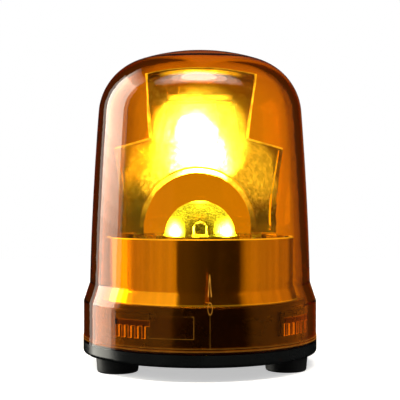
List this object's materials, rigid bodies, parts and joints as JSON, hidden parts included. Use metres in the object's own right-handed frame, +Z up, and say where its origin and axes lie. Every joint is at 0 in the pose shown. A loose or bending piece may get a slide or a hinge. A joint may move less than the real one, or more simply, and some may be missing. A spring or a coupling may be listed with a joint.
{
  "type": "rotating beacon",
  "caption": "amber rotating warning beacon: twist-on globe over a geared turning mirror and a light source with a lens dome, black base on rubber feet",
  "frame": {"origin": "on the beacon's axis, in the plane that the rubber feet stand on", "axes": "+Z up along the axis that the mirror turns about; -Y is the side the mirror faces at rest; +X to its right seen from the front"},
  "size_m": [0.1, 0.1001, 0.134],
  "materials": {
    "amber_plastic": "clear amber polycarbonate, polished moulding",
    "black_plastic": "black moulded plastic, satin",
    "black_rubber": "black soft rubber",
    "metallised_plastic": "vacuum-metallised plastic",
    "mirror_plating": "vacuum-metallised mirror",
    "clear_lens": "clear moulded lens",
    "bright_aluminium": "turned aluminium",
    "zinc_steel": "zinc-plated steel",
    "spring_steel": "phosphated spring steel",
    "plated_can": "nickel-plated steel can",
    "bearing_bronze": "sintered bronze or brass",
    "gear_plastic": "natural acetal",
    "turntable_plastic": "black acetal",
    "board_laminate": "green solder mask",
    "board_white": "white solder mask",
    "emitter_phosphor": "yellow phosphor",
    "lead_insulation": "red lead insulation",
    "ferrite": "dark moulded component body",
    "capacitor_sleeve": "dark blue sleeve",
    "block_plastic": "green moulded terminal block"
  },
  "bodies": {
    "base": {"base_housing": "black_plastic", "base_screws": "zinc_steel", "board_screws": "zinc_steel", "cable_grommet": "black_rubber", "centre_pillar": "bright_aluminium", "chassis": "black_plastic", "choke_coil": "ferrite", "circuit_board": "board_laminate", "drum_screws": "zinc_steel", "drum_shroud": "metallised_plastic", "emitter_lens": "clear_lens", "globe_seal": "black_rubber", "heat_sink": "bright_aluminium", "idler_axle": "zinc_steel", "idler_clip": "spring_steel", "led_board": "board_white", "led_emitter": "emitter_phosphor", "led_leads": "lead_insulation", "lens_dome": "clear_lens", "motor_can": "plated_can", "motor_end_cap": "black_plastic", "motor_screws": "zinc_steel", "motor_terminals": "bearing_bronze", "pillar_screws": "zinc_steel", "retaining_ring": "spring_steel", "rubber_foot_1": "black_rubber", "rubber_foot_2": "black_rubber", "rubber_foot_3": "black_rubber", "smoothing_capacitor": "capacitor_sleeve", "terminal_block": "block_plastic", "threaded_inserts": "bearing_bronze", "thrust_washer": "gear_plastic", "voltage_regulator": "ferrite"},
    "globe": {"amber_globe": "amber_plastic"},
    "rotor": {"turntable": "turntable_plastic", "lower_bush": "bearing_bronze", "upper_bush": "bearing_bronze", "reflector": "mirror_plating", "reflector_screws": "zinc_steel"},
    "idler": {"idler_gear": "gear_plastic"},
    "motor_rotor": {"motor_shaft": "zinc_steel", "motor_pinion": "bearing_bronze"}
  },
  "joints": [
    {"name": "globe_twist", "type": "hinge", "parent": "base", "child": "globe", "pos_m": [0, 0, 0.0107], "axis": [0, 0, 1], "range_deg": [0, 24]},
    {"name": "rotor_spin", "type": "hinge", "parent": "base", "child": "rotor", "pos_m": [0, 0, 0.0318], "axis": [0, 0, 1], "continuous": true},
    {"name": "idler_spin", "type": "hinge", "parent": "base", "child": "idler", "pos_m": [0, 0.0288, 0.0287], "axis": [0, 0, 1], "continuous": true},
    {"name": "motor_spin", "type": "hinge", "parent": "base", "child": "motor_rotor", "pos_m": [0.00922, 0.02378, 0.0234], "axis": [0, 0, 1], "continuous": true}
  ],
  "couplings": [
    {"joint": "idler_spin", "follows": "rotor_spin", "ratio": -5},
    {"joint": "motor_spin", "follows": "rotor_spin", "ratio": 16}
  ]
}
